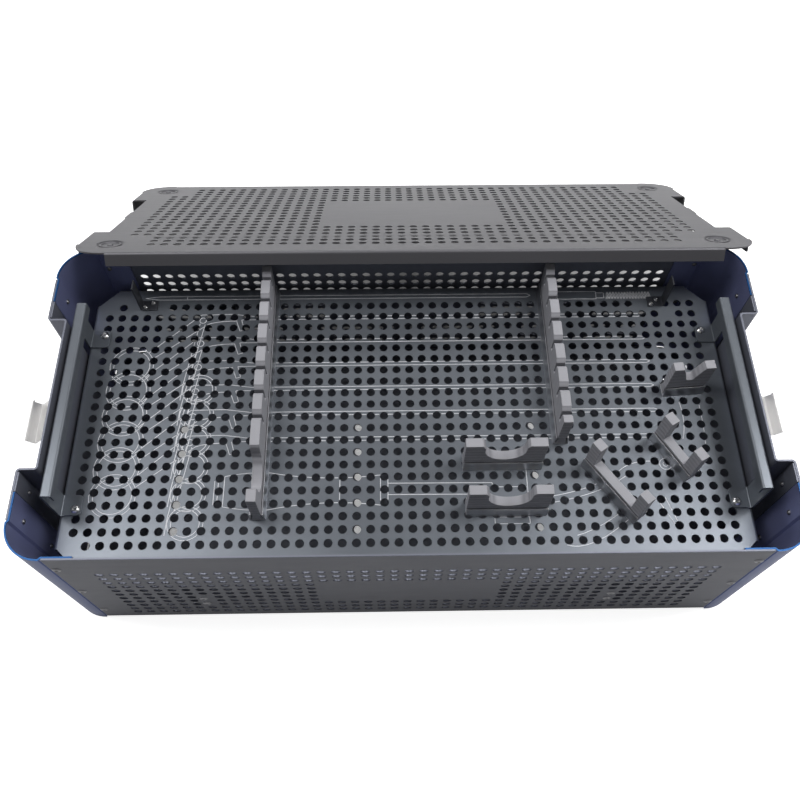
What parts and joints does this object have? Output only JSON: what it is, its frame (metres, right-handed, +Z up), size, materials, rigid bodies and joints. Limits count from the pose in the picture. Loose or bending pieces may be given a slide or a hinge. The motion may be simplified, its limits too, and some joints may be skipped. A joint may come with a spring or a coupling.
{
  "type": "sterilization container",
  "caption": "Perforated metal container for sterilising surgical instruments, with a lift-out tray, slotted holders, end latches and a notched lid that leans on its rear rim.",
  "frame": {"origin": "centre of the case's flat underside, on the table", "axes": "+X to the right along the length, +Y to the back, where the lid leans, +Z up"},
  "size_m": [0.5708, 0.4383, 0.1597],
  "materials": {
    "case_sheet": "dark grey anodised",
    "tray_sheet": "dark grey anodised",
    "lid_sheet": "dark grey anodised",
    "blue_corner": "blue anodised",
    "grey_pad": "matte silicone",
    "rail_metal": "satin",
    "latch_steel": "satin stainless",
    "rivet_steel": "bright"
  },
  "bodies": {
    "case": {"base_pan": "case_sheet", "front_left_corner": "blue_corner", "front_left_stiffener": "case_sheet", "front_left_tray_support": "case_sheet", "front_right_corner": "blue_corner", "front_right_stiffener": "case_sheet", "front_right_tray_support": "case_sheet", "left_end_wall": "case_sheet", "left_leaf": "latch_steel", "left_pin": "rivet_steel", "rear_left_corner": "blue_corner", "rear_left_stiffener": "case_sheet", "rear_left_tray_support": "case_sheet", "rear_right_corner": "blue_corner", "rear_right_stiffener": "case_sheet", "rear_right_tray_support": "case_sheet", "right_end_wall": "case_sheet", "right_leaf": "latch_steel", "right_pin": "rivet_steel"},
    "tray": {"cradle_corner_pad": "grey_pad", "cradle_corner_rail": "rail_metal", "cradle_front_pad": "grey_pad", "cradle_front_rail": "rail_metal", "cradle_middle_pad": "grey_pad", "cradle_middle_rail": "rail_metal", "cradle_narrow_pad": "grey_pad", "cradle_narrow_rail": "rail_metal", "cradle_slant_pad": "grey_pad", "cradle_slant_rail": "rail_metal", "left_clip": "tray_sheet", "left_comb_pad": "grey_pad", "left_comb_rail": "rail_metal", "left_handle": "tray_sheet", "right_clip": "tray_sheet", "right_comb_pad": "grey_pad", "right_comb_rail": "rail_metal", "right_handle": "tray_sheet", "tray_floor": "tray_sheet"},
    "lid": {"lid": "lid_sheet"},
    "left_latch": {"left_latch": "latch_steel"},
    "right_latch": {"right_latch": "latch_steel"}
  },
  "joints": [
    {"name": "tray_lift", "type": "slide", "parent": "case", "child": "tray", "axis": [0, 0, 1], "range_m": [0, 0.12]},
    {"name": "lid_lift", "type": "slide", "parent": "tray", "child": "lid", "axis": [0, 0, 1], "range_m": [0, 0.12]},
    {"name": "left_latch_swing", "type": "hinge", "parent": "case", "child": "left_latch", "pos_m": [-0.2565, 0, 0.121], "axis": [0, 1, 0], "range_deg": [0, 135]},
    {"name": "right_latch_swing", "type": "hinge", "parent": "case", "child": "right_latch", "pos_m": [0.2565, 0, 0.121], "axis": [0, -1, 0], "range_deg": [0, 135]}
  ]
}
